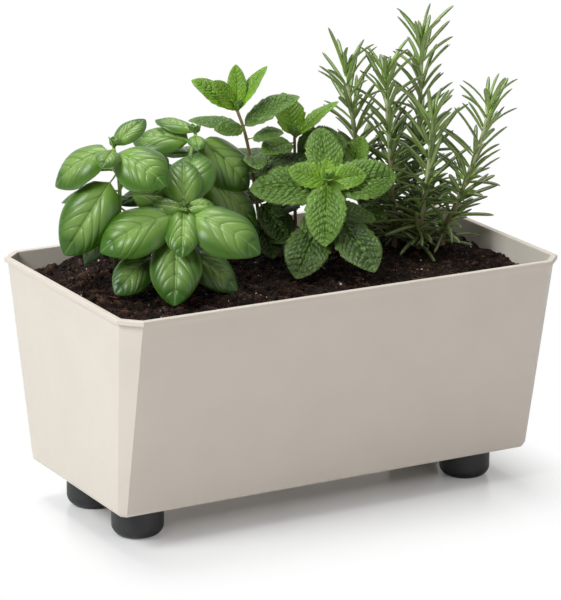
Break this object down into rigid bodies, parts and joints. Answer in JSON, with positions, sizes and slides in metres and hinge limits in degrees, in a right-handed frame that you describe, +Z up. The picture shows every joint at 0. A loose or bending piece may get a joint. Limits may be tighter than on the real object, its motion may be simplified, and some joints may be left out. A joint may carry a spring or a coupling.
{
  "type": "indoor herb planter",
  "caption": "Tapered rectangular indoor planter box with a lipped rim on rubber feet, with a drain plug and drainage plate, filled with soil and planted with basil, mint and rosemary.",
  "frame": {"origin": "on the ground under the middle of the box", "axes": "+X to the right along the box's length, +Y to the back, +Z up"},
  "size_m": [0.36, 0.213, 0.3564],
  "materials": {
    "box_plastic": "satin",
    "foot_rubber": "satin",
    "fastener_steel": "satin",
    "plug_rubber": "matte",
    "plate_plastic": "matte",
    "soil": "matte",
    "root_soil": "matte",
    "basil_leaf": "satin",
    "mint_leaf": "matte",
    "rosemary_leaf": "matte"
  },
  "bodies": {
    "planter": {"planter_box": "box_plastic", "foot_front_left": "foot_rubber", "foot_front_right": "foot_rubber", "foot_rear_left": "foot_rubber", "foot_rear_right": "foot_rubber", "foot_washers": "fastener_steel", "foot_screws": "fastener_steel", "drainage_plate": "plate_plastic", "potting_soil": "soil", "basil_root_ball": "root_soil", "mint_root_ball": "root_soil", "rosemary_root_ball": "root_soil", "basil_front": "basil_leaf", "basil_left": "basil_leaf", "basil_back": "basil_leaf", "mint_tall": "mint_leaf", "mint_back": "mint_leaf", "mint_front": "mint_leaf", "mint_right": "mint_leaf", "rosemary_left": "rosemary_leaf", "rosemary_middle": "rosemary_leaf", "rosemary_tall": "rosemary_leaf", "rosemary_front": "rosemary_leaf", "rosemary_right": "rosemary_leaf"},
    "plug": {"drain_plug": "plug_rubber"}
  },
  "joints": [
    {"name": "plug_slide", "type": "slide", "parent": "planter", "child": "plug", "axis": [0, 0, -1], "range_m": [0, 0.014]}
  ]
}
